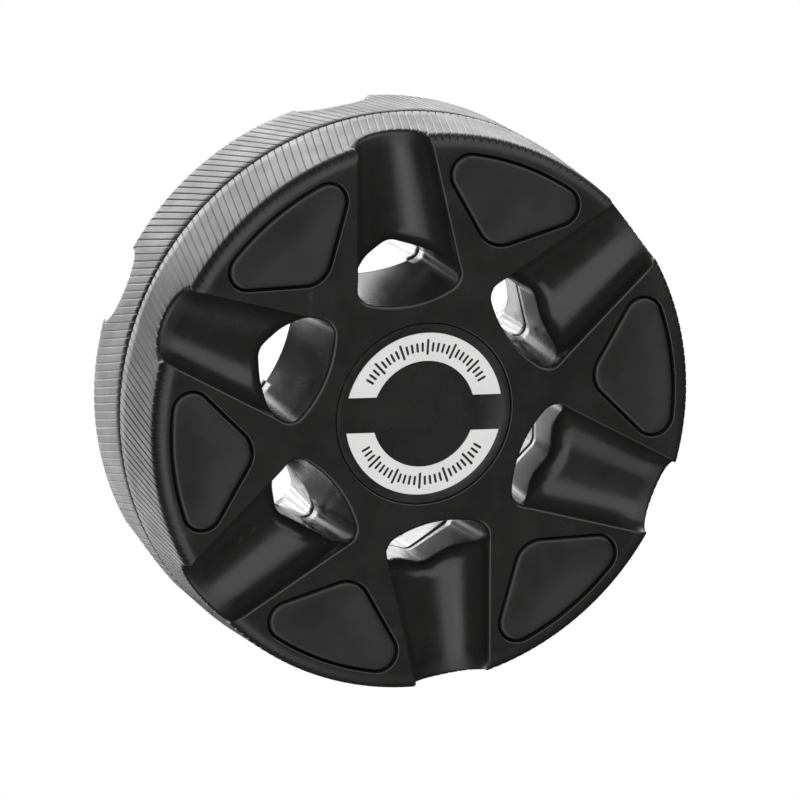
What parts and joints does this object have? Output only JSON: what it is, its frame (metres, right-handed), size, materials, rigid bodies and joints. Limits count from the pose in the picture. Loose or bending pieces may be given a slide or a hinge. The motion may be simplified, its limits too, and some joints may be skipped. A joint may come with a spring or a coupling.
{
  "type": "roller hockey puck",
  "caption": "Two-shell roller hockey puck with open windows, radial flutes, inset glide pads on both faces and a ribbed rim.",
  "frame": {"origin": "the puck's centre: on its axis, in the plane of the seam between the two half shells", "axes": "+Z along the puck's axis, out of the printed front face; +X through the middle of the first flute of each face"},
  "size_m": [0.0762, 0.0762, 0.0254],
  "materials": {
    "shell_plastic": "satin moulded black nylon with a fine mould texture",
    "pad_plastic": "fine matt spark texture, slightly lighter than the shells",
    "cap_plastic": "smooth satin black",
    "white_print": "white pad print, slightly glossy",
    "core_rubber": "plain moulded rubber",
    "pin_metal": "plain turned"
  },
  "bodies": {
    "root": {"front_shell": "shell_plastic", "rear_shell": "shell_plastic", "front_glide_pad_1": "pad_plastic", "front_glide_pad_2": "pad_plastic", "front_glide_pad_3": "pad_plastic", "front_glide_pad_4": "pad_plastic", "front_glide_pad_5": "pad_plastic", "front_glide_pad_6": "pad_plastic", "rear_glide_pad_1": "pad_plastic", "rear_glide_pad_2": "pad_plastic", "rear_glide_pad_3": "pad_plastic", "rear_glide_pad_4": "pad_plastic", "rear_glide_pad_5": "pad_plastic", "rear_glide_pad_6": "pad_plastic", "front_hub_cap": "cap_plastic", "rear_hub_cap": "cap_plastic", "front_badge": "white_print", "rear_badge": "white_print", "hub_core": "core_rubber", "tie_pins": "pin_metal"}
  },
  "joints": []
}
